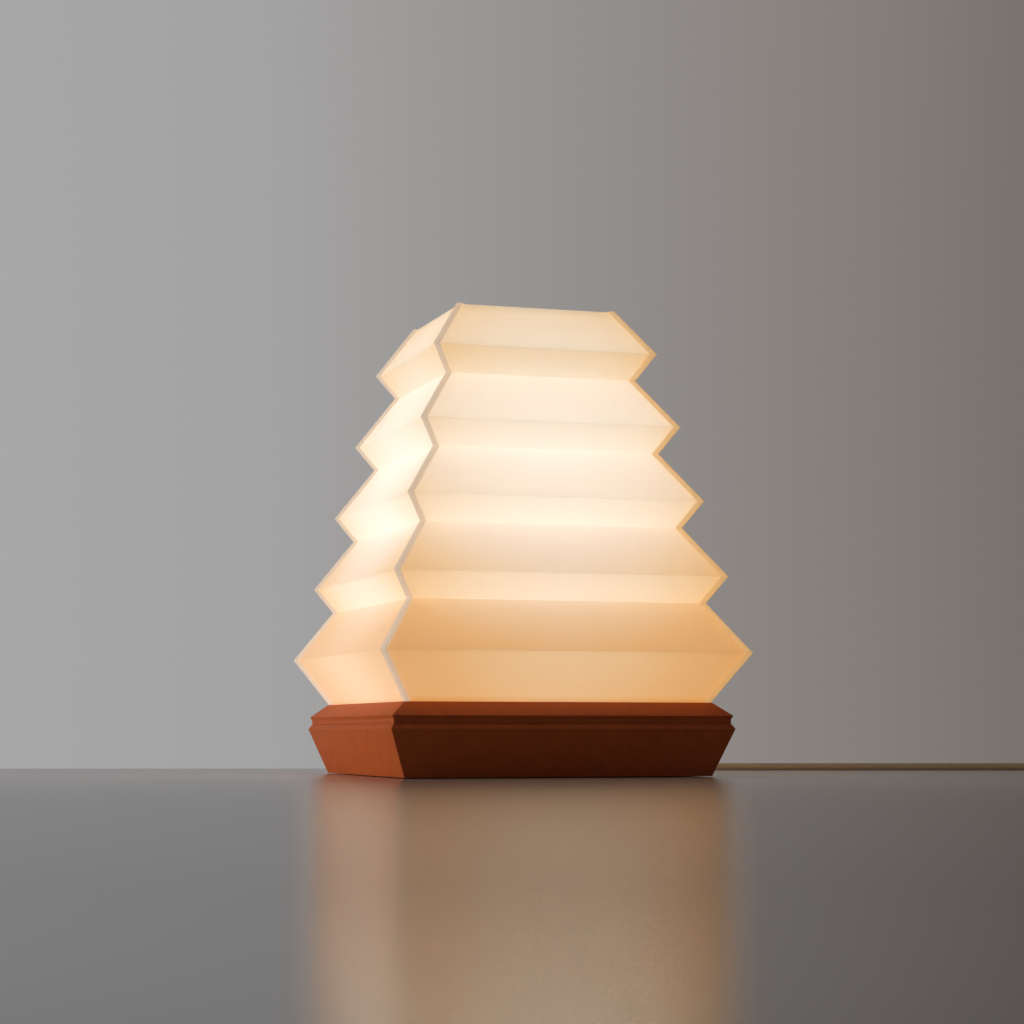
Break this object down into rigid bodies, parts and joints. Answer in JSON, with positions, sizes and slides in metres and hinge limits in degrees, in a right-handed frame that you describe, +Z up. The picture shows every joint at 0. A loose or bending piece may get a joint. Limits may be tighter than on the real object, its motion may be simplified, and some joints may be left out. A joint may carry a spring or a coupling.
{
  "type": "table lamp",
  "caption": "Square pleated paper table lamp with stiff zigzag corners on a bevelled terracotta base, with textile cord, in-line switch and plug.",
  "frame": {"origin": "on the table under the middle of the square base", "axes": "+Z up, -Y towards the face that the picture shows widest, +Y towards the side where the cord leaves, +X to the right of that face"},
  "size_m": [0.6704, 0.3918, 0.34],
  "materials": {
    "shade_paper": "thin translucent pleating paper",
    "stay_card": "stiff cream card strip",
    "shade_frame": "white powder coat",
    "terracotta": "matt terracotta, very fine grain",
    "plate_steel": "black sheet steel",
    "screw_steel": "zinc plated",
    "foot_rubber": "soft black rubber",
    "stem_brass": "threaded brass tube, nuts and washers",
    "holder_plastic": "moulded white plastic",
    "holder_ceramic": "unglazed white ceramic",
    "holder_contact": "pressed brass",
    "bulb_cap": "threaded metal cap",
    "bulb_black": "black glass-like insulator",
    "bulb_body": "white moulded collar",
    "bulb_board": "metal board that carries the light",
    "bulb_globe": "opal globe, lit",
    "cord_textile": "braided beige textile",
    "relief_rubber": "beige rubber",
    "inner_nylon": "natural nylon",
    "lead_vinyl": "brown and blue insulated leads",
    "switch_shell": "beige moulded plastic",
    "switch_key": "beige moulded plastic, slightly darker",
    "tie_rubber": "soft black strap",
    "plug_shell": "beige moulded rubber",
    "pin_nickel": "nickel-plated brass"
  },
  "bodies": {
    "base": {"base_cover": "terracotta", "base_body": "terracotta", "base_plate": "plate_steel", "base_screws": "screw_steel", "foot_pads": "foot_rubber", "stem_tube": "stem_brass", "stem_nuts": "stem_brass", "stem_washers": "stem_brass", "lampholder_cup": "holder_plastic", "lampholder_sleeve": "holder_plastic", "lampholder_core": "holder_ceramic", "lampholder_shell": "holder_contact", "lampholder_contact": "holder_contact", "cord_relief": "relief_rubber", "inner_cord": "cord_textile", "clamp_anvil": "inner_nylon", "clamp_saddle": "inner_nylon", "clamp_screws": "screw_steel", "terminal_block": "inner_nylon", "terminal_screws": "holder_contact", "supply_leads": "lead_vinyl", "lamp_leads": "lead_vinyl", "cord_run": "cord_textile", "switch_lower": "switch_shell", "switch_upper": "switch_shell", "switch_screws": "screw_steel", "cord_lead": "cord_textile", "cord_coil": "cord_textile", "coil_tie": "tie_rubber", "cord_tail": "cord_textile", "plug_relief": "relief_rubber", "plug_body": "plug_shell", "plug_pins": "pin_nickel"},
    "shade": {"shade_panel_front": "shade_paper", "shade_panel_right": "shade_paper", "shade_panel_back": "shade_paper", "shade_panel_left": "shade_paper", "corner_stay_front_right": "stay_card", "corner_stay_back_right": "stay_card", "corner_stay_back_left": "stay_card", "corner_stay_front_left": "stay_card", "top_frame": "shade_frame", "bottom_frame": "shade_frame"},
    "bulb": {"bulb_tip": "holder_contact", "bulb_insulator": "bulb_black", "bulb_cap": "bulb_cap", "bulb_collar": "bulb_body", "bulb_board": "bulb_board", "bulb_globe": "bulb_globe"},
    "rocker": {"switch_rocker": "switch_key"}
  },
  "joints": [
    {"name": "shade_lift", "type": "slide", "parent": "base", "child": "shade", "axis": [0, 0, 1], "range_m": [0, 0.22]},
    {"name": "bulb_lift", "type": "slide", "parent": "base", "child": "bulb", "axis": [0, 0, 1], "range_m": [0, 0.03]},
    {"name": "rocker_tilt", "type": "hinge", "parent": "base", "child": "rocker", "pos_m": [0.521, 0.005, 0.0125], "axis": [-1, 0, 0], "range_deg": [0, 16]}
  ]
}
